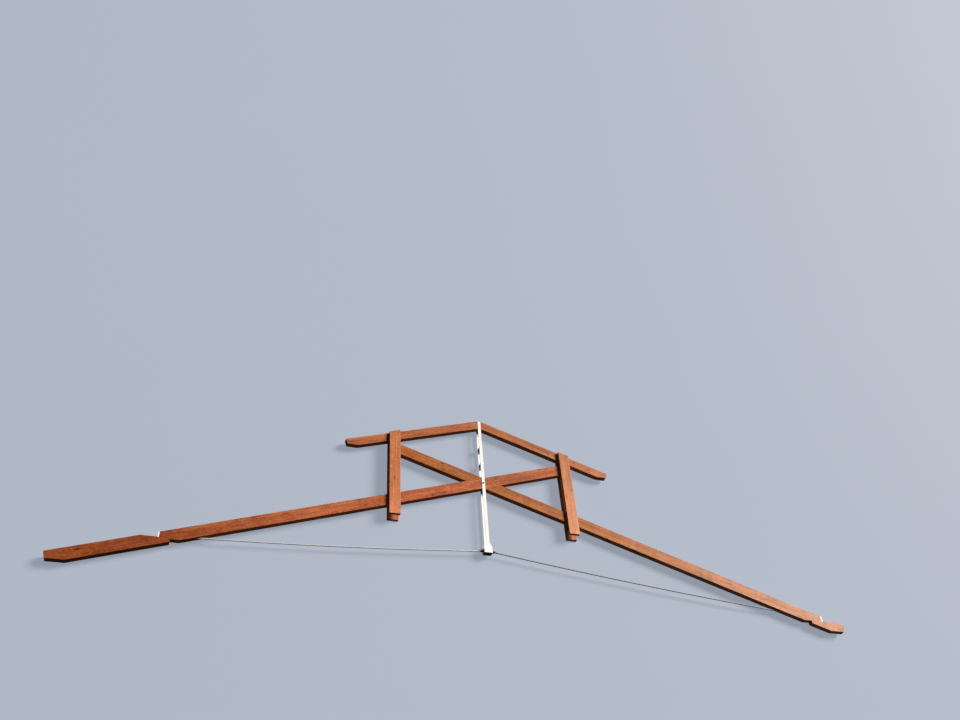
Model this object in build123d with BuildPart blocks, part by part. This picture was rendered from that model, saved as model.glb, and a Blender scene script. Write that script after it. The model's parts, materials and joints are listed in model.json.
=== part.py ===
from build123d import *
from math import atan, cos, sqrt
import os

# Timber scissor truss with a steel king post and two tie rods, in millimetres.
# It lies on its back: X runs along the span, +Y is the truss's own up (eaves to ridge)
# and +Z is its front face. The origin is the middle of the footprint, on the floor.

# Timber sections
chord_depth = 286
timber_thickness = 140
top_chord_depth = 235
plank_width = 275
plank_thickness = 80

# Layout, measured from the point where the two long chords' top edges cross
roof_rise = 1
roof_run = 3
ridge_height = 1843
tail_x = 9585
tail_nose = 157
top_tail_length = 1147.5
top_tail_nose = 141
post_inset = 90.5
chord_end_length = 36.5
front_plank_foot = -1390
back_plank_foot = -1430

# Notches in the long chords: for the eaves beams on top and the walls below. Each is
# placed from the one before it, starting at the tail's end.
beam_notch_depth = 128
left_tail_to_beam_heel = 2145
right_tail_to_beam_heel = 640
left_beam_to_wall_heel = 230
right_beam_to_wall_heel = 305
wall_seat_length = 200
heel_plate_thickness = 25
heel_plate_housing = 10

# King post: a flat bar on each face of the timbers, held apart by two spacers above the
# crossing and by a block in the flared foot, its sides open everywhere else
bar_width = 80
bar_thickness = 10
bar_arris = 1
bar_below_ridge = 28
post_foot = -2138
foot_width = 210
foot_height = 135
flare_height = 143
lower_spacer_head = 479
spacer_pitch = 511
spacer_height = 125

# Tie rods
rod_diameter = 32
rod_clearance = 1
rod_above_foot = 68
rod_stub = 65
left_wall_heel_to_anchor = 590
right_wall_heel_to_anchor = 840
left_rod_sag = 48
right_rod_sag = 52
rod_embedment = 330
coupler_across_flats = 56
coupler_length = 70

# Derived
slope = atan(roof_rise / roof_run)
run = roof_run / roof_rise
chord_drop = chord_depth / cos(slope)
top_chord_drop = top_chord_depth / cos(slope)
clear_height = ridge_height - top_chord_drop
bearing_x = clear_height * run / 2
post_x = bearing_x - post_inset
top_tail_x = bearing_x + top_tail_length
chord_end_x = bearing_x + chord_end_length
tail_soffit = -tail_x / run - tail_nose
left_beam_heel_x = tail_x - left_tail_to_beam_heel
right_beam_heel_x = tail_x - right_tail_to_beam_heel
left_wall_heel_x = left_beam_heel_x - left_beam_to_wall_heel
right_wall_heel_x = right_beam_heel_x - right_beam_to_wall_heel
left_anchor_x = left_wall_heel_x - left_wall_heel_to_anchor
right_anchor_x = right_wall_heel_x - right_wall_heel_to_anchor
flare_foot = post_foot + foot_height
flare_top = flare_foot + flare_height
rod_foot_y = post_foot + rod_above_foot
back_z = plank_thickness
front_z = back_z + timber_thickness
mid_z = back_z + timber_thickness / 2
cross_y = -(ridge_height + tail_soffit) / 2


def roof_line(x):
    """Height of the roof plane above the crossing at a distance x from the centre."""
    return ridge_height - abs(x) / run


def chord_profile(beam_heel_x, wall_heel_x):
    """Outline of the long chord that rises to the right, its tail at the left."""
    tail_top = -tail_x / run
    end_foot_x = -tail_x + tail_nose / run
    soffit_kink_x = (tail_soffit + chord_drop) * run
    beam_seat = -beam_heel_x / run - beam_notch_depth
    wall_foot = -wall_heel_x / run - chord_drop
    wall_seat = wall_foot + wall_seat_length / run
    plate_face_x = -beam_heel_x - heel_plate_thickness
    return [
        (-tail_x, tail_top),
        (beam_seat * run, beam_seat),
        (plate_face_x, beam_seat),
        (plate_face_x, beam_seat - heel_plate_housing),
        (-beam_heel_x, beam_seat - heel_plate_housing),
        (-beam_heel_x, -beam_heel_x / run),
        (bearing_x, bearing_x / run),
        (chord_end_x, roof_line(chord_end_x) - top_chord_drop),
        (chord_end_x, chord_end_x / run - chord_drop),
        (-wall_heel_x + wall_seat_length, wall_seat),
        (-wall_heel_x, wall_seat),
        (-wall_heel_x, wall_foot),
        (soffit_kink_x, tail_soffit),
        (end_foot_x, tail_soffit),
    ]


def lap_profile():
    """Diamond where the two long chords cross."""
    half_run = chord_drop / 2 * run
    return [(0, 0), (half_run, -chord_drop / 2), (0, -chord_drop), (-half_run, -chord_drop / 2)]


def top_chord_profile():
    """Outline of the left top chord, plumb at the ridge, with a soffit cut at its tail."""
    tail_top = roof_line(top_tail_x)
    soffit = tail_top - top_tail_nose
    return [
        (0, ridge_height),
        (-top_tail_x, tail_top),
        (-top_tail_x + top_tail_nose / run, soffit),
        (-(clear_height - soffit) * run, soffit),
        (0, clear_height),
    ]


def plank_profile(foot):
    """Outline of a left post plank, its head cut to the roof slope."""
    outer = post_x + plank_width / 2
    inner = post_x - plank_width / 2
    return [(-outer, foot), (-inner, foot), (-inner, roof_line(inner)), (-outer, roof_line(outer))]


def bar_profile():
    """Half outline of a king post bar, with its flared foot."""
    half, foot_half = bar_width / 2, foot_width / 2
    bar_top = ridge_height - bar_below_ridge
    return [
        (0, bar_top),
        (-half, bar_top),
        (-half, flare_top),
        (-foot_half, flare_foot),
        (-foot_half, post_foot),
        (0, post_foot),
    ]


def row_plane(z):
    """Plane of the truss's outlines at height z above the floor."""
    return Plane(origin=(0, cross_y, z))


def rod_axis(side, anchor_x, sag):
    """Sagging arc of a rod's axis, from the foot block's side to the chord's underside."""
    foot = Vector(side * foot_width / 2, rod_foot_y + cross_y, mid_z)
    anchor = Vector(side * anchor_x, -anchor_x / run - chord_drop + cross_y, mid_z)
    middle = (foot + anchor) * 0.5 - Vector(0, sag, 0)
    return Edge.make_three_point_arc(foot, middle, anchor)


def square_to(axis, end):
    """Plane square to a rod's axis at one end of its arc, facing outwards."""
    return Plane(origin=axis @ end, x_dir=(0, 0, 1), z_dir=axis % end)


os.makedirs("parts", exist_ok=True)

left_axis = rod_axis(-1, left_anchor_x, left_rod_sag)
right_axis = rod_axis(1, right_anchor_x, right_rod_sag)
left_foot_frame, left_anchor_frame = square_to(left_axis, 0), square_to(left_axis, 1)
right_foot_frame, right_anchor_frame = square_to(right_axis, 0), square_to(right_axis, 1)
hole_radius = rod_diameter / 2 + rod_clearance / 2

# Left long chord: keeps its front half at the crossing
with BuildPart() as left_long_chord:
    with BuildSketch(row_plane(back_z)):
        with BuildLine():
            Polyline(*chord_profile(left_beam_heel_x, left_wall_heel_x), close=True)
        make_face()
    extrude(amount=timber_thickness)
    with BuildSketch(row_plane(back_z)):
        with BuildLine():
            Polyline(*lap_profile(), close=True)
        make_face()
    extrude(amount=timber_thickness / 2, mode=Mode.SUBTRACT)
    with BuildSketch(left_anchor_frame.offset(-rod_embedment)):
        Circle(hole_radius)
    extrude(amount=2 * rod_embedment, mode=Mode.SUBTRACT)
left_long_chord.part.label = "left_long_chord"
export_step(left_long_chord.part, "parts/left_long_chord.step")

# Right long chord: keeps its back half at the crossing
with BuildPart() as right_long_chord:
    with BuildSketch(row_plane(back_z)):
        with BuildLine():
            outline = chord_profile(right_beam_heel_x, right_wall_heel_x)
            Polyline(*[(-x, y) for x, y in outline], close=True)
        make_face()
    extrude(amount=timber_thickness)
    with BuildSketch(row_plane(mid_z)):
        with BuildLine():
            Polyline(*lap_profile(), close=True)
        make_face()
    extrude(amount=timber_thickness / 2, mode=Mode.SUBTRACT)
    with BuildSketch(right_anchor_frame.offset(-rod_embedment)):
        Circle(hole_radius)
    extrude(amount=2 * rod_embedment, mode=Mode.SUBTRACT)
right_long_chord.part.label = "right_long_chord"
export_step(right_long_chord.part, "parts/right_long_chord.step")

# Top chords, butted at the ridge between the king post bars
with BuildPart() as left_top_chord:
    with BuildSketch(row_plane(back_z)):
        with BuildLine():
            Polyline(*top_chord_profile(), close=True)
        make_face()
    extrude(amount=timber_thickness)
left_top_chord.part.label = "left_top_chord"
export_step(left_top_chord.part, "parts/left_top_chord.step")

with BuildPart() as right_top_chord:
    with BuildSketch(row_plane(back_z)):
        with BuildLine():
            Polyline(*[(-x, y) for x, y in top_chord_profile()], close=True)
        make_face()
    extrude(amount=timber_thickness)
right_top_chord.part.label = "right_top_chord"
export_step(right_top_chord.part, "parts/right_top_chord.step")

# Post planks, one on each face of the chords at each post
with BuildPart() as left_post_front_plank:
    with BuildSketch(row_plane(front_z)):
        with BuildLine():
            Polyline(*plank_profile(front_plank_foot), close=True)
        make_face()
    extrude(amount=plank_thickness)
left_post_front_plank.part.label = "left_post_front_plank"
export_step(left_post_front_plank.part, "parts/left_post_front_plank.step")

with BuildPart() as right_post_front_plank:
    with BuildSketch(row_plane(front_z)):
        with BuildLine():
            Polyline(*[(-x, y) for x, y in plank_profile(front_plank_foot)], close=True)
        make_face()
    extrude(amount=plank_thickness)
right_post_front_plank.part.label = "right_post_front_plank"
export_step(right_post_front_plank.part, "parts/right_post_front_plank.step")

with BuildPart() as left_post_back_plank:
    with BuildSketch(row_plane(0)):
        with BuildLine():
            Polyline(*plank_profile(back_plank_foot), close=True)
        make_face()
    extrude(amount=plank_thickness)
left_post_back_plank.part.label = "left_post_back_plank"
export_step(left_post_back_plank.part, "parts/left_post_back_plank.step")

with BuildPart() as right_post_back_plank:
    with BuildSketch(row_plane(0)):
        with BuildLine():
            Polyline(*[(-x, y) for x, y in plank_profile(back_plank_foot)], close=True)
        make_face()
    extrude(amount=plank_thickness)
right_post_back_plank.part.label = "right_post_back_plank"
export_step(right_post_back_plank.part, "parts/right_post_back_plank.step")

# King post bars, each cut from plate in one piece with its flared foot
with BuildPart() as king_post_front_bar:
    with BuildSketch(row_plane(front_z)):
        with BuildLine():
            Polyline(*bar_profile(), close=True)
        make_face()
        mirror(about=Plane.YZ)
    extrude(amount=bar_thickness)
    chamfer(king_post_front_bar.faces().sort_by(Axis.Z)[-1].edges(), bar_arris)
king_post_front_bar.part.label = "king_post_front_bar"
export_step(king_post_front_bar.part, "parts/king_post_front_bar.step")

with BuildPart() as king_post_back_bar:
    with BuildSketch(row_plane(back_z - bar_thickness)):
        with BuildLine():
            Polyline(*bar_profile(), close=True)
        make_face()
        mirror(about=Plane.YZ)
    extrude(amount=bar_thickness)
    chamfer(king_post_back_bar.faces().sort_by(Axis.Z)[0].edges(), bar_arris)
king_post_back_bar.part.label = "king_post_back_bar"
export_step(king_post_back_bar.part, "parts/king_post_back_bar.step")

# Spacers between the bars, above the crossing
with BuildPart() as king_post_lower_spacer:
    with BuildSketch(row_plane(back_z)):
        with Locations((0, lower_spacer_head - spacer_height / 2)):
            Rectangle(bar_width, spacer_height)
    extrude(amount=timber_thickness)
king_post_lower_spacer.part.label = "king_post_lower_spacer"
export_step(king_post_lower_spacer.part, "parts/king_post_lower_spacer.step")

with BuildPart() as king_post_upper_spacer:
    with BuildSketch(row_plane(back_z)):
        with Locations((0, lower_spacer_head + spacer_pitch - spacer_height / 2)):
            Rectangle(bar_width, spacer_height)
    extrude(amount=timber_thickness)
king_post_upper_spacer.part.label = "king_post_upper_spacer"
export_step(king_post_upper_spacer.part, "parts/king_post_upper_spacer.step")

# Block between the bars in the plumb part of the foot, drilled for the rods
with BuildPart() as king_post_foot_block:
    with BuildSketch(row_plane(back_z)):
        with Locations((0, post_foot + foot_height / 2)):
            Rectangle(foot_width, foot_height)
    extrude(amount=timber_thickness)
    with BuildSketch(left_foot_frame.offset(-rod_stub)):
        Circle(hole_radius)
    extrude(amount=2 * rod_stub, mode=Mode.SUBTRACT)
    with BuildSketch(right_foot_frame.offset(-rod_stub)):
        Circle(hole_radius)
    extrude(amount=2 * rod_stub, mode=Mode.SUBTRACT)
king_post_foot_block.part.label = "king_post_foot_block"
export_step(king_post_foot_block.part, "parts/king_post_foot_block.step")

# Tie rods: straight into the foot block, sagging in the span, straight into the chord
with BuildPart() as left_tie_rod:
    with BuildLine() as left_rod_path:
        left_start = left_foot_frame.origin - left_foot_frame.z_dir * rod_stub
        left_end = left_anchor_frame.origin + left_anchor_frame.z_dir * rod_embedment
        Line(left_start, left_foot_frame.origin)
        add(left_axis)
        Line(left_anchor_frame.origin, left_end)
    with BuildSketch(left_foot_frame.offset(-rod_stub)):
        Circle(rod_diameter / 2)
    sweep(path=left_rod_path.line, transition=Transition.ROUND)
left_tie_rod.part.label = "left_tie_rod"
export_step(left_tie_rod.part, "parts/left_tie_rod.step")

with BuildPart() as right_tie_rod:
    with BuildLine() as right_rod_path:
        right_start = right_foot_frame.origin - right_foot_frame.z_dir * rod_stub
        right_end = right_anchor_frame.origin + right_anchor_frame.z_dir * rod_embedment
        Line(right_start, right_foot_frame.origin)
        add(right_axis)
        Line(right_anchor_frame.origin, right_end)
    with BuildSketch(right_foot_frame.offset(-rod_stub)):
        Circle(rod_diameter / 2)
    sweep(path=right_rod_path.line, transition=Transition.ROUND)
right_tie_rod.part.label = "right_tie_rod"
export_step(right_tie_rod.part, "parts/right_tie_rod.step")

# Hexagon couplers on the rods, dressed to bear on the foot block's plumb sides
for side, name, frame in ((-1, "left", left_foot_frame), (1, "right", right_foot_frame)):
    with BuildPart() as coupler:
        with BuildSketch(frame.offset(-rod_stub)):
            RegularPolygon(coupler_across_flats / sqrt(3), 6)
            Circle(hole_radius, mode=Mode.SUBTRACT)
        extrude(amount=rod_stub + coupler_length)
        block_side = Plane(origin=(side * foot_width / 2, 0, 0), z_dir=(side, 0, 0))
        split(bisect_by=block_side, keep=Keep.TOP)
    coupler.part.label = f"{name}_rod_coupler"
    export_step(coupler.part, f"parts/{name}_rod_coupler.step")

# White plates on the heels of the eaves beam notches, let into the seats at their foot
heel_plate_height = beam_notch_depth + heel_plate_housing
for side, name, heel_x in ((-1, "left", left_beam_heel_x), (1, "right", right_beam_heel_x)):
    with BuildPart() as heel_plate:
        plate_x = side * (heel_x + heel_plate_thickness / 2)
        plate_y = -heel_x / run - heel_plate_height / 2
        with BuildSketch(row_plane(back_z)):
            with Locations((plate_x, plate_y)):
                Rectangle(heel_plate_thickness, heel_plate_height)
        extrude(amount=timber_thickness)
    heel_plate.part.label = f"{name}_heel_plate"
    export_step(heel_plate.part, f"parts/{name}_heel_plate.step")
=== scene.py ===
import json
import math
import random

import bmesh
import bpy
from mathutils import Matrix, Vector, noise


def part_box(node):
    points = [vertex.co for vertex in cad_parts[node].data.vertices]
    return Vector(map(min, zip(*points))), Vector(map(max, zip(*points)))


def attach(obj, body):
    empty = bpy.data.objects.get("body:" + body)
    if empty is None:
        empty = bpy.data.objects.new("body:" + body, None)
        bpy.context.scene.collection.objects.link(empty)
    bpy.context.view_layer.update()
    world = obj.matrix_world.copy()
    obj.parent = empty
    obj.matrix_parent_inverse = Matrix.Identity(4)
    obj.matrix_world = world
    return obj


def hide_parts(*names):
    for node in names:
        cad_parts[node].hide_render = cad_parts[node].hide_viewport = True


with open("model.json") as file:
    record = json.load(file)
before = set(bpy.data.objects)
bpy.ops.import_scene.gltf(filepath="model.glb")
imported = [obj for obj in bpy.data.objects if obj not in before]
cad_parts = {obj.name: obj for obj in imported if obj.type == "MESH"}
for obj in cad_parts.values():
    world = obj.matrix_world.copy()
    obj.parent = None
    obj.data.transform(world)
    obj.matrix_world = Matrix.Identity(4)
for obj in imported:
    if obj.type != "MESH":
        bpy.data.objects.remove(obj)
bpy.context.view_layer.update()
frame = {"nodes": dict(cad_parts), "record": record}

# Camera, from a fit to the long edges of the truss; it is turned about Z, X and Y
CAMERA_POS = (-6.55869, -12.35728, 18.16722)
CAMERA_TURN = (math.radians(11.95864), math.radians(40.64698), math.radians(-23.25939))
SENSOR_WIDTH = 36.0
FOCAL_PX = 904.651
PHOTO_WIDTH = 960
PIXEL_CENTRE = 0.5
CLIP_END = 500

# Layout: pitch, depths and the ridge's height over the crossing as in the CAD, the rest from the frame
ROOF_PITCH = 1 / 3
SLOPE = math.atan(ROOF_PITCH)
PLUMB = math.pi / 2
CHORD_DEPTH = 0.286
TOP_CHORD_DEPTH = 0.235
RIDGE_HEIGHT = 1.843
RIDGE_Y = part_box("left_top_chord")[1].y
CROSSING_Y = RIDGE_Y - RIDGE_HEIGHT
BAR_FRONT_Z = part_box("king_post_front_bar")[1].z
BAR_BACK_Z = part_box("king_post_back_bar")[0].z

# Cleaning and easing of a node's mesh; the shortest edge to ease is counted in widths of the easing
MERGE_DISTANCE = 2e-5
FLAT_TURN = math.radians(1)
SHARP_TURN = math.radians(20)
SHORTEST_TO_EASE = 3
WEAR_FREQUENCY = 9
WEAR_GAIN = 2
WEAR_SEED_STEP = 7.0

# Timber finish
ARRIS = 0.005
ARRIS_WEAR = 0.0025
CUT_SPACING = 0.11
CUT_UNEVENNESS = (0.5, 1.5)
CUT_TOLERANCE = 1e-6
RING_SPACING = 0.006
BAND_RATE = 190.0
SEED_SHIFT = (3.7, 1.9, 2.3)
# Painted sun sheen: how far each channel is lifted where the sheen is full
SHEEN_GAIN = (1.9, 2.3, 3.2)
BRIGHTEST_STAIN = 0.9
SOAKED_SHARE = 0.45
TIMBER_RELIEF = 0.0012

# Stretches, in metres along a timber from its middle, over which a painted sun sheen grows
CHORD_SPAN = (-6.0, 6.0)
TAIL_SPAN = (-6.5, 1.0)
PLANK_SPAN = (1.3, -1.3)

# Timbers: name, direction of the grain, pith across and through, tint, contrast, painted sun sheen and its
# span
TIMBERS = (
    ("left_long_chord", SLOPE, (0.05, -0.16), (0.66, 0.64, 1.06), 1.35, 1.00, TAIL_SPAN),
    ("right_long_chord", -SLOPE, (-0.07, -0.14), (1.06, 1.45, 2.50), 1.30, 0.42, CHORD_SPAN),
    ("left_top_chord", SLOPE, (0.09, -0.15), (1.18, 1.58, 3.80), 1.15, 0.10, CHORD_SPAN),
    ("right_top_chord", -SLOPE, (-0.06, -0.17), (1.02, 1.47, 3.30), 1.20, 0.40, CHORD_SPAN),
    ("left_post_front_plank", PLUMB, (0.03, -0.10), (1.42, 2.08, 5.25), 1.0, 0.28, PLANK_SPAN),
    ("right_post_front_plank", PLUMB, (-0.05, -0.09), (1.42, 2.36, 6.70), 0.60, 0.42, PLANK_SPAN),
    ("left_post_back_plank", PLUMB, (0.06, -0.10), (1.50, 1.95, 3.80), 1.0, 0.0, PLANK_SPAN),
    ("right_post_back_plank", PLUMB, (-0.04, -0.11), (1.25, 2.00, 5.40), 1.0, 0.0, PLANK_SPAN),
)

# Steel details; a screw head is given by rings, as shares of its radius and height
EASED_STEEL = {
    "king_post_lower_spacer": 0.003,
    "king_post_upper_spacer": 0.003,
    "king_post_foot_block": 0.003,
    "left_heel_plate": 0.0015,
    "right_heel_plate": 0.0015,
    "left_rod_coupler": 0.002,
    "right_rod_coupler": 0.002,
}
BOLT_SIZE = 0.020
BOLT_PITCH = 0.0025
BOLT_END = 0.010
BOLT_FLATS = 0.030
BOLT_NUT_HEIGHT = 0.018
BOLT_WASHER = 0.044
BOLT_WASHER_HEIGHT = 0.004
SCREW_HEAD = 0.022
SCREW_HEIGHT = 0.0025
SCREW_SPREAD_X = 0.075
SCREW_SPREAD_Y = 0.060
SCREW_STEPS = 24
SCREW_DISH = ((1.0, 0.0), (0.94, 0.7), (0.80, 1.0))
SCREW_SOCKET = ((0.756, 1.0), (0.72, 0.0))
COUPLER_HALF = 0.035
ROD_THREAD_RADIUS = 0.0172
ROD_THREAD_PITCH = 0.0035
ROD_THREAD_LENGTH = 0.09
WELD_SIZE = 0.007
WELD_RIPPLE = 0.006
WELD_SINK = 0.0005
WELD_SEED = 4
STEPS_PER_RIPPLE = 3
FEWEST_WELD_STEPS = 4
WELD_SWELL = 0.16
WELD_UNEVENNESS = 0.06
WELD_END_SHARE = 0.35
WELD_BOW_SHARE = 0.62
UNDERSIDE_NORMAL_Y = -0.9
ROUND_STEPS = 48
NUT_END_SHARE = 0.96
NUT_BITE_SHARE = 0.03
NUT_TURN_SLOPE = 1.7
THREAD_STEPS = 24
LEVELS_PER_TURN = 6
THREAD_DEPTH_SHARE = 0.45
THREAD_TIP_SHARE = 0.12

# Colours, linear
STAIN_DEEP = (0.130, 0.0215, 0.0026)
STAIN_MID = (0.275, 0.0560, 0.0072)
STAIN_WARM = (0.390, 0.0900, 0.0130)
STAIN_PALE = (0.560, 0.1700, 0.0330)
WHITE_PAINT = (0.76, 0.755, 0.735)
GRIME = (0.60, 0.57, 0.50)
SCUFFED_PAINT = (0.42, 0.40, 0.37)
GALVANISED = (0.500, 0.510, 0.530)
# The right tie rod's zinc, darker than the left's: painted shade on the same galvanised steel
SHADED_ZINC = (0.240, 0.246, 0.258)
DARK_PRIMER = (0.025, 0.025, 0.028)
RUBBED_STEEL = (0.32, 0.31, 0.30)
RUST = (0.16, 0.045, 0.014)
PAINT_RELIEF = 0.0004
STEEL_RELIEF = 0.0003
FLOOR = (0.098, 0.109, 0.132)
FLOOR_GLOW = (0.282, 0.313, 0.376)
WALL = (0.010, 0.011, 0.013)
WALL_GLOW = (0.415, 0.458, 0.540)

# Stage
FLOOR_REACH = 95.0
WALL_HEIGHT = 70.0
WALL_STEPS = 96
STAGE_ROUGHNESS = 0.85
STAGE_RELIEF = 0.0002

# Light: a soft key from the upper right and a faint blue fill
KEY_ENERGY = 6.4
KEY_SPREAD = math.radians(24)
KEY_COLOUR = (1.0, 0.97, 0.92)
KEY_FROM = (1.15, 0.6, 1.0)
FILL_COLOUR = (0.78, 0.86, 1.0)
FILL_STRENGTH = 0.08


def add(tree, kind, inputs=None, **options):
    """A new node with its options set and its inputs linked or given a value."""
    made = tree.nodes.new(kind)
    for key, value in options.items():
        setattr(made, key, value)
    for key, value in (inputs or {}).items():
        if isinstance(value, bpy.types.NodeSocket):
            tree.links.new(value, made.inputs[key])
        else:
            made.inputs[key].default_value = value
    return made


def maths(tree, operation, first, second=0.0, third=0.0):
    """A Math node's result."""
    inputs = {0: first, 1: second, 2: third}
    return add(tree, "ShaderNodeMath", inputs, operation=operation).outputs[0]


def summed(tree, start, *terms):
    """A start value plus each term's value times its weight."""
    for value, weight in terms:
        start = maths(tree, "MULTIPLY_ADD", value, weight, start)
    return start


def ramp(tree, value, low, high, start=0.0, end=1.0):
    """value mapped smoothly from the range low..high to start..end."""
    inputs = {"Value": value, "From Min": low, "From Max": high, "To Min": start, "To Max": end}
    return add(tree, "ShaderNodeMapRange", inputs, interpolation_type="SMOOTHSTEP").outputs[0]


def blend_colours(tree, amount, first, second, blend_type="MIX"):
    """Two colours mixed by an amount."""
    inputs = {0: amount, 6: first, 7: second}
    made = add(tree, "ShaderNodeMix", inputs, data_type="RGBA", blend_type=blend_type)
    return made.outputs[2]


def layered(tree, colour, *layers):
    """A colour with each layer's colour laid over it by its amount."""
    for amount, laid in layers:
        colour = blend_colours(tree, amount, colour, rgba(laid))
    return colour


def rgba(colour):
    """A colour with full opacity."""
    return (*colour, 1.0)


def stretched(tree, coords, scale):
    """Coordinates scaled separately along, across and through the grain."""
    return add(tree, "ShaderNodeVectorMath", {0: coords, 1: scale}, operation="MULTIPLY").outputs[0]


def noise_of(tree, coords, scale, detail, roughness=0.55, distortion=0.0):
    """A noise value over stretched coordinates."""
    inputs = {
        "Vector": stretched(tree, coords, scale),
        "Scale": 1.0,
        "Detail": detail,
        "Roughness": roughness,
        "Distortion": distortion,
    }
    return add(tree, "ShaderNodeTexNoise", inputs).outputs["Fac"]


def new_material(name):
    """An empty material with its output, and the tree to fill."""
    material = bpy.data.materials.new(name)
    material.use_nodes = True
    material.node_tree.nodes.clear()
    return material, material.node_tree


def finish_material(tree, colour, roughness, height, distance, **constants):
    """The Principled shader at the end of a material, with bump from a height in metres."""
    bump = add(tree, "ShaderNodeBump", {"Height": height, "Strength": 1.0, "Distance": distance})
    inputs = {"Base Color": colour, "Roughness": roughness, "Normal": bump.outputs[0]}
    shader = add(tree, "ShaderNodeBsdfPrincipled", inputs)
    for key, value in constants.items():
        shader.inputs[key.replace("_", " ")].default_value = value
    output = add(tree, "ShaderNodeOutputMaterial")
    tree.links.new(shader.outputs[0], output.inputs["Surface"])


def grain_coordinates(tree, origin, angle):
    """Coordinates along, across and through a timber, from a point on its axis."""
    place = add(tree, "ShaderNodeTexCoord").outputs["Object"]
    inputs = {"Vector": place, "Location": origin, "Rotation": (0, 0, angle)}
    return add(tree, "ShaderNodeMapping", inputs, vector_type="TEXTURE").outputs[0]


def tone_of(tint, contrast):
    """The four stain colours, spread about their middle and tinted for one timber."""
    tone = []
    for stain in (STAIN_DEEP, STAIN_MID, STAIN_WARM, STAIN_PALE):
        middle = [(low + high) / 2 for low, high in zip(STAIN_MID, STAIN_WARM)]
        spread = [centre * (part / centre) ** contrast for part, centre in zip(stain, middle)]
        tone.append(tuple(min(BRIGHTEST_STAIN, part * gain) for part, gain in zip(spread, tint)))
    return tone


def timber_knots(tree, place):
    """Knots, longer along the grain: how deep a point lies in a knot's heart and in its halo."""
    inputs = {"Vector": stretched(tree, place, (2.1, 6.0, 6.0)), "Scale": 1.0, "Randomness": 1.0}
    near = add(tree, "ShaderNodeTexVoronoi", inputs, feature="F1").outputs["Distance"]
    rim = summed(tree, near, (noise_of(tree, place, (30, 60, 60), 2.0), 0.06))
    return ramp(tree, rim, 0.08, 0.12, 1.0, 0.0), ramp(tree, rim, 0.08, 0.28, 1.0, 0.0)


def growth_rings(tree, coords, place, pith, knot_halo):
    """Late wood of the rings about the pith, and broad bands, both pushed about by waves and knots."""
    from_pith = add(
        tree, "ShaderNodeVectorMath", {0: coords, 1: (0, pith[0], pith[1])}, operation="SUBTRACT"
    ).outputs[0]
    flat = stretched(tree, from_pith, (0, 1, 1))
    radius = add(tree, "ShaderNodeVectorMath", {0: flat}, operation="LENGTH").outputs["Value"]
    wander = noise_of(tree, place, (0.55, 3.5, 3.5), 2.0)
    waver = noise_of(tree, place, (4.0, 22, 22), 2.0)
    radius = summed(tree, radius, (wander, 0.055), (waver, 0.006), (knot_halo, 0.016))
    ring = maths(tree, "FRACT", maths(tree, "DIVIDE", radius, RING_SPACING))
    waves = maths(tree, "SINE", maths(tree, "MULTIPLY", radius, BAND_RATE))
    groups = noise_of(tree, place, (0.35, 1, 1), 1.0)
    bands = maths(tree, "MULTIPLY", ramp(tree, waves, -1.0, 1.0), groups)
    return ramp(tree, ring, 0.55, 0.97), bands


def drying_checks(tree, place):
    """Long narrow checks, in patches."""
    line = noise_of(tree, place, (0.75, 26, 26), 2.0, 0.4, 0.1)
    line = maths(tree, "ABSOLUTE", maths(tree, "SUBTRACT", line, 0.5))
    line = ramp(tree, line, 0.0, 0.006, 1.0, 0.0)
    patches = ramp(tree, noise_of(tree, place, (0.8, 3.0, 3.0), 2.0), 0.56, 0.64)
    return maths(tree, "MULTIPLY", line, patches)


def across_grain(tree, angle):
    """How squarely a face lies across the grain."""
    normal = add(tree, "ShaderNodeNewGeometry").outputs["Normal"]
    inputs = {0: normal, 1: (math.cos(angle), math.sin(angle), 0)}
    along = add(tree, "ShaderNodeVectorMath", inputs, operation="DOT_PRODUCT").outputs["Value"]
    return ramp(tree, maths(tree, "ABSOLUTE", along), 0.55, 0.85)


def painted_sheen(tree, colour, coords, amount, span):
    """A colour paled towards the second end of a span along the timber: a painted sun sheen."""
    distance_along = add(tree, "ShaderNodeSeparateXYZ", {0: coords}).outputs[0]
    sheen_share = ramp(tree, distance_along, span[0], span[1], 0.0, amount)
    sheened = blend_colours(tree, 1.0, colour, rgba(SHEEN_GAIN), "MULTIPLY")
    return blend_colours(tree, sheen_share, colour, sheened)


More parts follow.
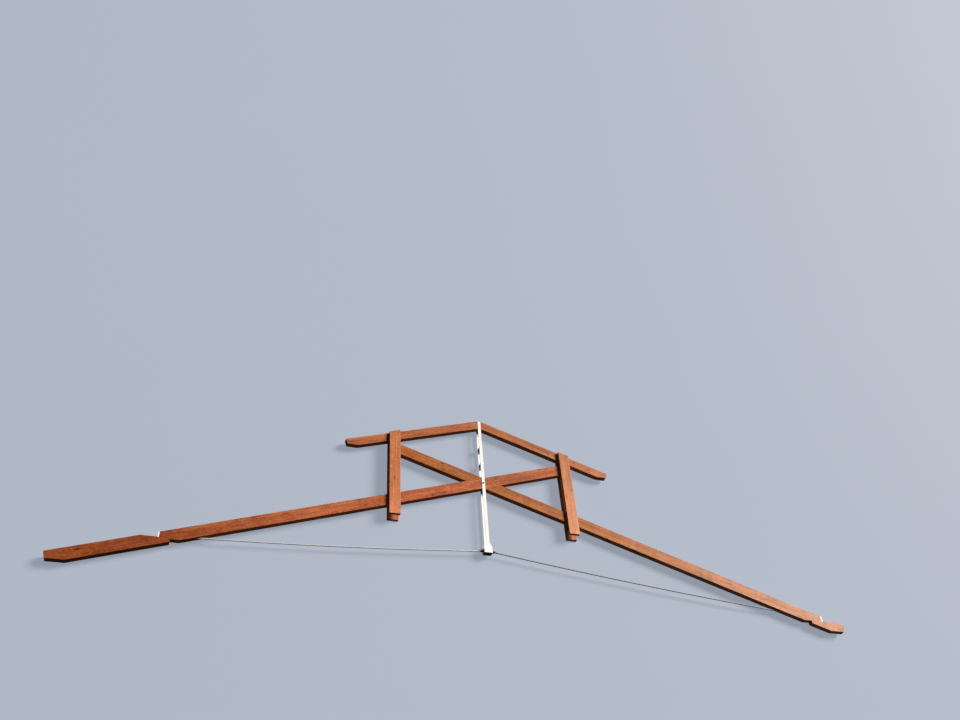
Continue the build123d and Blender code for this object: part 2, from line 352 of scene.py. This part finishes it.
def timber_material(name, angle, pith, tone, sheen_amount, span, seed):
    """Stained sawn timber: growth rings about a pith, fibre streaks, knots, checks and wear, and a painted
    sun sheen towards one end.
    """
    material, tree = new_material(name + "_wood")
    low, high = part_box(name)
    coords = grain_coordinates(tree, (low + high) / 2, angle)
    shift = tuple(seed * part for part in SEED_SHIFT)
    place = add(tree, "ShaderNodeVectorMath", {0: coords, 1: shift}, operation="ADD").outputs[0]

    knot_heart, knot_halo = timber_knots(tree, place)
    late_wood, bands = growth_rings(tree, coords, place, pith, knot_halo)
    checks = drying_checks(tree, place)
    end_grain = across_grain(tree, angle)
    fibre = noise_of(tree, place, (6.0, 420, 420), 3.0, 0.6)
    streak = noise_of(tree, place, (1.1, 46, 46), 4.0, 0.6, 0.15)
    broad = noise_of(tree, place, (0.55, 7.5, 7.5), 3.0, 0.5)
    blotch = noise_of(tree, place, (2.6, 4.2, 4.2), 4.0, 0.62)
    mottle = noise_of(tree, place, (20.0, 36.0, 36.0), 3.0, 0.7)

    # Stain over stain. Faces across the grain, knots and checks soak up most
    deep, mid, warm, pale = tone
    soaked = tuple(SOAKED_SHARE * part for part in deep)
    colour = layered(
        tree, rgba(mid),
        (ramp(tree, broad, 0.30, 0.70), warm),
        (ramp(tree, blotch, 0.40, 0.74, 0.0, 0.50), deep),
        (ramp(tree, mottle, 0.50, 0.72, 0.0, 0.60), deep),
        (ramp(tree, mottle, 0.46, 0.28, 0.0, 0.45), pale),
        (ramp(tree, streak, 0.52, 0.76, 0.0, 0.50), pale),
        (ramp(tree, streak, 0.46, 0.24, 0.0, 0.34), deep),
        (maths(tree, "MULTIPLY", bands, 0.40), mid),
        (maths(tree, "MULTIPLY", late_wood, 0.36), deep),
        (ramp(tree, fibre, 0.55, 0.80, 0.0, 0.26), deep),
        (maths(tree, "MULTIPLY", end_grain, 0.55), deep),
        (maths(tree, "MULTIPLY", knot_halo, 0.45), deep),
        (maths(tree, "MULTIPLY", knot_heart, 0.85), soaked),
        (maths(tree, "MULTIPLY", checks, 0.9), soaked),
    )
    # Painted sun sheen: the timber grows paler towards one end of its span
    colour = painted_sheen(tree, colour, coords, sheen_amount, span)

    # Arrises rubbed back to paler wood
    arris = add(tree, "ShaderNodeAttribute", attribute_name="arris").outputs["Fac"]
    patches = ramp(tree, noise_of(tree, place, (5.0, 30, 30), 4.0, 0.7), 0.42, 0.66)
    rubbed = maths(tree, "MULTIPLY", arris, patches)
    colour = layered(tree, colour, (maths(tree, "MULTIPLY", rubbed, 0.75), pale))

    roughness = summed(tree, 0.32, (streak, 0.22), (end_grain, 0.18), (knot_heart, -0.10))
    height = summed(
        tree, 0.0, (late_wood, 0.22), (fibre, 0.45), (streak, 0.55), (knot_heart, 0.35), (checks, -1.6)
    )
    finish_material(tree, colour, roughness, height, TIMBER_RELIEF, Specular_IOR_Level=0.12)
    return material


def painted_steel_material():
    """Satin white paint on steel: faint orange peel, runs of dirt, chips showing rust."""
    material, tree = new_material("white_paint")
    coords = add(tree, "ShaderNodeTexCoord").outputs["Object"]
    grime = noise_of(tree, coords, (9, 2.2, 9), 5.0, 0.62)
    fine = noise_of(tree, coords, (60, 60, 60), 3.0, 0.6)
    peel = noise_of(tree, coords, (420, 420, 420), 2.0)
    scuff = noise_of(tree, coords, (120, 14, 120), 4.0, 0.7)
    arris = add(tree, "ShaderNodeAttribute", attribute_name="arris").outputs["Fac"]
    chips = maths(tree, "GREATER_THAN", fine, summed(tree, 0.735, (arris, -0.10)))
    colour = layered(
        tree, rgba(WHITE_PAINT),
        (ramp(tree, grime, 0.45, 0.80, 0.0, 0.55), GRIME),
        (ramp(tree, scuff, 0.60, 0.78, 0.0, 0.35), SCUFFED_PAINT),
        (maths(tree, "MULTIPLY", chips, 0.9), RUST),
    )
    roughness = summed(tree, 0.26, (scuff, 0.30), (chips, 0.35))
    height = summed(tree, 0.0, (chips, -0.8), (peel, 0.25))
    finish_material(tree, colour, roughness, height, PAINT_RELIEF, Specular_IOR_Level=0.5)
    return material


def galvanised_material(name, tone):
    """Dull galvanised bar: spangle, drawn lines and white bloom."""
    material, tree = new_material(name)
    coords = add(tree, "ShaderNodeTexCoord").outputs["Object"]
    cells = add(tree, "ShaderNodeTexVoronoi", {"Vector": coords, "Scale": 90.0}, feature="F1")
    shade = add(tree, "ShaderNodeSeparateColor", {0: cells.outputs["Color"]}).outputs[0]
    bloom = noise_of(tree, coords, (7, 7, 7), 5.0, 0.65)
    drawn = noise_of(tree, coords, (9, 380, 380), 2.0)
    spangled = tuple(1.06 * part for part in tone)
    bloomed = tuple(1.16 * part for part in tone)
    colour = layered(
        tree, rgba(tone),
        (maths(tree, "MULTIPLY", shade, 0.35), spangled),
        (ramp(tree, bloom, 0.48, 0.78, 0.0, 0.6), bloomed),
    )
    roughness = summed(tree, 0.42, (bloom, 0.35))
    height = summed(tree, 0.0, (shade, 0.2), (drawn, 0.3))
    finish_material(tree, colour, roughness, height, STEEL_RELIEF, Metallic=0.35)
    return material


def dark_steel_material():
    """Dark primer on machined steel, with rust blooming through and edges rubbed bright."""
    material, tree = new_material("dark_primer")
    coords = add(tree, "ShaderNodeTexCoord").outputs["Object"]
    bloom = noise_of(tree, coords, (28, 28, 28), 5.0, 0.65)
    grit = noise_of(tree, coords, (700, 700, 700), 2.0)
    arris = add(tree, "ShaderNodeAttribute", attribute_name="arris").outputs["Fac"]
    colour = layered(
        tree, rgba(DARK_PRIMER),
        (ramp(tree, bloom, 0.55, 0.75, 0.0, 0.7), RUST),
        (maths(tree, "MULTIPLY", arris, ramp(tree, bloom, 0.40, 0.60, 0.0, 0.7)), RUBBED_STEEL),
    )
    roughness = summed(tree, 0.30, (bloom, 0.35))
    finish_material(tree, colour, roughness, grit, STEEL_RELIEF, Metallic=0.25)
    return material


def stage_material(name, tone, glow):
    """Plain pale stage finish, with a glow of its own so that shadows on it stay faint."""
    material, tree = new_material(name)
    coords = add(tree, "ShaderNodeTexCoord").outputs["Object"]
    mottle = noise_of(tree, coords, (0.08, 0.08, 0.08), 2.0)
    paler = tuple(min(1.0, part * 1.06) for part in tone)
    colour = blend_colours(tree, mottle, rgba(tone), rgba(paler))
    grain = noise_of(tree, coords, (40, 40, 40), 2.0)
    finish_material(
        tree, colour, STAGE_ROUGHNESS, grain, STAGE_RELIEF,
        Emission_Color=rgba(glow), Emission_Strength=1.0,
    )
    return material


def eased_copy(name, ease, wear=0.0, cut_angle=None, seed=0):
    """A node's shape as a new mesh with its long arrises eased, and rubbed unevenly if worn."""
    source = frame["nodes"][name]
    bm = bmesh.new()
    bm.from_mesh(source.data)
    bmesh.ops.remove_doubles(bm, verts=bm.verts, dist=MERGE_DISTANCE)
    bmesh.ops.dissolve_limit(
        bm, angle_limit=FLAT_TURN, verts=bm.verts, edges=bm.edges, delimit=set()
    )
    if cut_angle is not None:
        cut_across(bm, cut_angle, seed)
    shortest = SHORTEST_TO_EASE * ease
    sharp = []
    for edge in bm.edges:
        if edge.is_manifold and edge.calc_face_angle() > SHARP_TURN and edge.calc_length() > shortest:
            sharp.append(edge)
    made = bmesh.ops.bevel(
        bm, geom=sharp, offset=ease, offset_type="OFFSET", segments=2, profile=0.5,
        affect="EDGES", clamp_overlap=True,
    )
    layer = bm.loops.layers.float.new("arris")
    for face in made["faces"]:
        for loop in face.loops:
            loop[layer] = 1.0
    if wear:
        middle = {v for face in made["faces"] for v in face.verts}
        bm.normal_update()
        moves = {}
        for vert in middle:
            place = vert.co * WEAR_FREQUENCY + Vector((seed * WEAR_SEED_STEP, 0, 0))
            amount = max(0.0, noise.noise(place)) * wear * WEAR_GAIN
            moves[vert] = vert.normal * -amount
        for vert, move in moves.items():
            vert.co += move
    bmesh.ops.recalc_face_normals(bm, faces=bm.faces)
    mesh = bpy.data.meshes.new(name + "_dressed")
    bm.to_mesh(mesh)
    bm.free()
    dressed = bpy.data.objects.new(name + "_dressed", mesh)
    bpy.context.scene.collection.objects.link(dressed)
    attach(dressed, "root")
    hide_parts(name)
    return dressed


def cut_across(bm, angle, seed):
    """Cuts a timber across its grain at uneven intervals, so that its arrises can wear unevenly."""
    dice = random.Random(seed)
    direction = Vector((math.cos(angle), math.sin(angle), 0))
    reach = [vert.co.dot(direction) for vert in bm.verts]
    place, last = min(reach), max(reach)
    while True:
        place += CUT_SPACING * dice.uniform(*CUT_UNEVENNESS)
        if place > last:
            return
        geometry = bm.verts[:] + bm.edges[:] + bm.faces[:]
        bmesh.ops.bisect_plane(
            bm, geom=geometry, dist=CUT_TOLERANCE, plane_co=direction * place, plane_no=direction
        )


def assign(piece, material):
    """Gives a piece one material on every face."""
    piece.data.materials.clear()
    piece.data.materials.append(material)


def dress_timbers():
    """Replaces each timber by a copy with worn arrises and a finish of its own."""
    for seed, (name, angle, pith, tint, contrast, sheen_amount, span) in enumerate(TIMBERS, start=1):
        tone = tone_of(tint, contrast)
        material = timber_material(name, angle, pith, tone, sheen_amount, span, seed)
        piece = eased_copy(name, ARRIS, ARRIS_WEAR, angle, seed)
        assign(piece, material)


def mesh_piece(name, material):
    """An empty mesh object riding with the truss, and the bmesh to fill it."""
    mesh = bpy.data.meshes.new(name)
    piece = bpy.data.objects.new(name, mesh)
    bpy.context.scene.collection.objects.link(piece)
    assign(piece, material)
    return piece, bmesh.new()


def close_piece(piece, bm):
    """Writes the filled bmesh into its piece and sets it riding."""
    bmesh.ops.recalc_face_normals(bm, faces=bm.faces)
    bm.to_mesh(piece.data)
    bm.free()
    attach(piece, "root")


def angles_round(steps):
    """Evenly spaced angles, once round."""
    return [2 * math.pi * step / steps for step in range(steps)]


def vert_ring(bm, place, radii, level):
    """Vertices evenly round an axis at one level, each at its own radius."""
    ring = []
    for angle, radius in zip(angles_round(len(radii)), radii):
        local = Vector((radius * math.cos(angle), radius * math.sin(angle), level))
        ring.append(bm.verts.new(place @ local))
    return ring


def join_rings(bm, rings):
    """Faces between each ring of vertices and the next."""
    for first, second in zip(rings, rings[1:]):
        for step in range(len(first)):
            following = (step + 1) % len(first)
            bm.faces.new((first[step], first[following], second[following], second[step]))


def lofted(bm, place, radius_at, levels, steps):
    """A closed form about an axis: its radius is given by angle and level, its ends are flat."""
    rings = []
    for level in levels:
        radii = [radius_at(angle, level) for angle in angles_round(steps)]
        rings.append(vert_ring(bm, place, radii, level))
    join_rings(bm, rings)
    bm.faces.new(list(reversed(rings[0])))
    bm.faces.new(rings[-1])


def hexagon_radius(angle, across_flats):
    """Distance from the axis to a hexagon's side."""
    sixth = math.pi / 3
    return across_flats / 2 / math.cos((angle + sixth / 2) % sixth - sixth / 2)


def nut_form(bm, place, across_flats, height):
    """A hexagon nut with its corners turned off at both ends."""
    def radius_at(angle, level):
        turned = across_flats / 2 * NUT_END_SHARE + min(level, height - level) * NUT_TURN_SLOPE
        return min(hexagon_radius(angle, across_flats), turned)

    bites = [count * (across_flats * NUT_BITE_SHARE) for count in range(4)]
    levels = bites + [height - bite for bite in reversed(bites)]
    lofted(bm, place, radius_at, levels, ROUND_STEPS)


def washer_form(bm, place, radius, height):
    """A round washer with rolled edges."""
    edge = height / 4

    def radius_at(angle, level):
        return radius - max(0.0, edge - min(level, height - level))

    lofted(bm, place, radius_at, [0, edge, height - edge, height], ROUND_STEPS)


def thread_form(bm, place, radius, pitch, length):
    """A threaded end with a chamfered tip."""
    def radius_at(angle, level):
        turn = (level / pitch - angle / (2 * math.pi)) % 1.0
        groove = abs(turn - 0.5) * 2 * pitch * THREAD_DEPTH_SHARE
        tip = max(0.0, radius * THREAD_TIP_SHARE - (length - level))
        return radius - groove - tip

    count = int(length / pitch * LEVELS_PER_TURN)
    levels = [length * i / count for i in range(count + 1)]
    lofted(bm, place, radius_at, levels, THREAD_STEPS)


def build_bolt(dark):
    """The bolt through the crossing: washer, nut and threaded end on each king post bar."""
    piece, bm = mesh_piece("crossing_bolt", dark)
    centre_y = CROSSING_Y - CHORD_DEPTH / math.cos(SLOPE) / 2
    for face_z, turn in ((BAR_FRONT_Z, 0), (BAR_BACK_Z, math.pi)):
        place = Matrix.Translation((0, centre_y, face_z)) @ Matrix.Rotation(turn, 4, "X")
        washer_form(bm, place, BOLT_WASHER / 2, BOLT_WASHER_HEIGHT)
        on_washer = place @ Matrix.Translation((0, 0, BOLT_WASHER_HEIGHT))
        nut_form(bm, on_washer, BOLT_FLATS, BOLT_NUT_HEIGHT)
        on_nut = on_washer @ Matrix.Translation((0, 0, BOLT_NUT_HEIGHT))
        thread_form(bm, on_nut, BOLT_SIZE / 2, BOLT_PITCH, BOLT_END)
    close_piece(piece, bm)


def screw_places():
    """Centres of the joints under a post's front plank: each timber that the plank crosses."""
    low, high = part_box("right_post_front_plank")
    post_x = (low.x + high.x) / 2
    rise = post_x * ROOF_PITCH
    chord_half = CHORD_DEPTH / math.cos(SLOPE) / 2
    top_half = TOP_CHORD_DEPTH / math.cos(SLOPE) / 2
    heights = (CROSSING_Y - rise - chord_half, CROSSING_Y + rise - chord_half, RIDGE_Y - rise - top_half)
    leans = (1, -1, 1)
    return [(side * post_x, y, side * lean) for side in (-1, 1) for y, lean in zip(heights, leans)]


def build_screws(dark):
    """Screw heads flush with the front planks' faces, four to each timber behind."""
    piece, bm = mesh_piece("plank_screws", dark)
    face_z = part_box("left_post_front_plank")[1].z
    for x, y, lean in screw_places():
        for across in (-SCREW_SPREAD_X, SCREW_SPREAD_X):
            for up in (-SCREW_SPREAD_Y, SCREW_SPREAD_Y):
                centre = (x + across, y + up - lean * across * ROOF_PITCH, face_z - SCREW_HEIGHT)
                screw_head(bm, Matrix.Translation(centre))
    close_piece(piece, bm)


def screw_head(bm, place):
    """A low dished head with a hexagon socket. Set flush, it shows only its flat ring."""
    rim = SCREW_HEAD / 2
    rings = []
    for share, level in SCREW_DISH:
        rings.append(vert_ring(bm, place, [rim * share] * SCREW_STEPS, SCREW_HEIGHT * level))
    for share, level in SCREW_SOCKET:
        radii = [hexagon_radius(angle, rim * share) for angle in angles_round(SCREW_STEPS)]
        rings.append(vert_ring(bm, place, radii, SCREW_HEIGHT * level))
    join_rings(bm, rings)
    bm.faces.new(rings[-1])


def build_welds(white):
    """Rippled fillet welds in the corners between the king post bars and the blocks between them."""
    piece, bm = mesh_piece("king_post_welds", white)
    dice = random.Random(WELD_SEED)
    for name in ("king_post_lower_spacer", "king_post_upper_spacer", "king_post_foot_block"):
        low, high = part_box(name)
        for z, inward in ((low.z, 1), (high.z, -1)):
            for y, outward in ((high.y, 1), (low.y, -1)):
                if name == "king_post_foot_block" and outward == -1:
                    continue
                weld_bead(bm, dice, (low.x + WELD_SIZE, high.x - WELD_SIZE), y, outward, z, inward)
    close_piece(piece, bm)


def weld_bead(bm, dice, reach, y, outward, z, inward):
    """One fillet weld along X in the corner at (y, z), its face rippled as it was laid."""
    start, end = reach
    count = max(FEWEST_WELD_STEPS, int((end - start) / WELD_RIPPLE * STEPS_PER_RIPPLE))
    loops = []
    for index in range(count + 1):
        x = start + (end - start) * index / count
        swell = 1 + WELD_SWELL * math.cos(2 * math.pi * index / STEPS_PER_RIPPLE)
        swell += dice.uniform(-WELD_UNEVENNESS, WELD_UNEVENNESS)
        size = WELD_SIZE * swell * (WELD_END_SHARE if index in (0, count) else 1.0)
        bow = size * WELD_BOW_SHARE
        corner = Vector((x, y - outward * WELD_SINK, z - inward * WELD_SINK))
        loops.append([
            bm.verts.new(corner),
            bm.verts.new(corner + Vector((0, outward * size, 0))),
            bm.verts.new(corner + Vector((0, outward * bow, inward * bow))),
            bm.verts.new(corner + Vector((0, 0, inward * size))),
        ])
    join_rings(bm, loops)
    bm.faces.new(loops[0])
    bm.faces.new(list(reversed(loops[-1])))


def coupler_axis(name, side):
    """Direction in which a coupler's outer end faces, along its rod."""
    normals = [face.normal.copy() for face in frame["nodes"][name].data.polygons]
    return max(normals, key=lambda normal: normal.x * side)


def build_rod_threads(finishes):
    """Rolled threads on each tie rod where it leaves its coupler."""
    for rod, side in (("left_rod", -1), ("right_rod", 1)):
        piece, bm = mesh_piece(rod + "_threads", finishes[rod])
        low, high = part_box(rod + "_coupler")
        axis = coupler_axis(rod + "_coupler", side)
        start = (low + high) / 2 + axis * COUPLER_HALF
        place = Matrix.Translation(start) @ axis.to_track_quat("Z", "Y").to_matrix().to_4x4()
        thread_form(bm, place, ROD_THREAD_RADIUS, ROD_THREAD_PITCH, ROD_THREAD_LENGTH)
        close_piece(piece, bm)


def dress_steel():
    """Gives each steel node its finish, and adds bolt, screws, welds and threads."""
    white, dark = painted_steel_material(), dark_steel_material()
    zinc = galvanised_material("galvanised_steel", GALVANISED)
    shaded_zinc = galvanised_material("zinc_painted_shade", SHADED_ZINC)
    finishes = {"white_steel": white, "rod_steel": zinc, "dark_steel": dark}
    for part in frame["record"]["subparts"]:
        name, slot = part["node"], part["material_slot"]
        if slot not in finishes:
            continue
        # The right tie rod gets the darker zinc as painted shade
        finish = shaded_zinc if name == "right_tie_rod" else finishes[slot]
        if name in EASED_STEEL:
            piece = eased_copy(name, EASED_STEEL[name])
            assign(piece, finish)
        else:
            assign(frame["nodes"][name], finish)
    leave_underside_dark(bpy.data.objects["king_post_foot_block_dressed"], dark)
    build_bolt(dark)
    build_screws(dark)
    build_welds(white)
    # The right rod's threads take the same painted-shade zinc
    build_rod_threads({"left_rod": zinc, "right_rod": shaded_zinc})


def leave_underside_dark(piece, dark):
    """The foot block's face away from the ridge is given the dark finish, so it is darker than the rest of
    the block.
    """
    piece.data.materials.append(dark)
    for face in piece.data.polygons:
        if face.normal.y < UNDERSIDE_NORMAL_Y:
            face.material_index = 1


def stage_piece(name, corners, faces, material):
    """Part of the stage: it is seen and takes shadows, but throws no light on the truss."""
    mesh = bpy.data.meshes.new(name)
    mesh.from_pydata(corners, [], faces)
    piece = bpy.data.objects.new(name, mesh)
    bpy.context.scene.collection.objects.link(piece)
    assign(piece, material)
    piece.visible_diffuse = False
    piece.visible_glossy = False
    piece.visible_shadow = False


def build_stage():
    """A plain pale floor and a round wall, far from the truss on every side."""
    ring = []
    for angle in angles_round(WALL_STEPS):
        ring.append((FLOOR_REACH * math.cos(angle), FLOOR_REACH * math.sin(angle)))
    low = [(x, y, 0.0) for x, y in ring]
    high = [(x, y, WALL_HEIGHT) for x, y in ring]
    floor_finish = stage_material("floor_plain", FLOOR, FLOOR_GLOW)
    stage_piece("floor", low, [tuple(range(WALL_STEPS))], floor_finish)
    sides = []
    for step in range(WALL_STEPS):
        following = (step + 1) % WALL_STEPS
        sides.append((following, step, step + WALL_STEPS, following + WALL_STEPS))
    stage_piece("backdrop", low + high, sides, stage_material("wall_plain", WALL, WALL_GLOW))


def build_light():
    """A soft key light from the upper right and a faint blue fill from all round."""
    key_data = bpy.data.lights.new("key", "SUN")
    key_data.energy = KEY_ENERGY
    key_data.angle = KEY_SPREAD
    key_data.color = KEY_COLOUR
    key = bpy.data.objects.new("key", key_data)
    key.rotation_euler = Vector(KEY_FROM).to_track_quat("Z", "Y").to_euler()
    bpy.context.scene.collection.objects.link(key)

    world = bpy.data.worlds.new("fill")
    world.use_nodes = True
    background = world.node_tree.nodes["Background"]
    background.inputs["Color"].default_value = rgba(FILL_COLOUR)
    background.inputs["Strength"].default_value = FILL_STRENGTH
    bpy.context.scene.world = world
    bpy.context.scene.view_settings.view_transform = "Standard"


def build_camera():
    """The photo's camera, in its fitted place and turn."""
    turn_z, turn_x, turn_y = CAMERA_TURN
    rotation = (
        Matrix.Rotation(turn_z, 4, "Z") @ Matrix.Rotation(turn_x, 4, "X") @ Matrix.Rotation(turn_y, 4, "Y")
    )
    data = bpy.data.cameras.new("photo_view")
    data.sensor_width = SENSOR_WIDTH
    data.lens = FOCAL_PX / PHOTO_WIDTH * SENSOR_WIDTH
    data.shift_x = -PIXEL_CENTRE / PHOTO_WIDTH
    data.shift_y = PIXEL_CENTRE / PHOTO_WIDTH
    data.clip_end = CLIP_END
    camera = bpy.data.objects.new("photo_view", data)
    camera.matrix_world = Matrix.Translation(CAMERA_POS) @ rotation
    bpy.context.scene.collection.objects.link(camera)
    bpy.context.scene.camera = camera


dress_timbers()
dress_steel()
build_stage()
build_light()
build_camera()
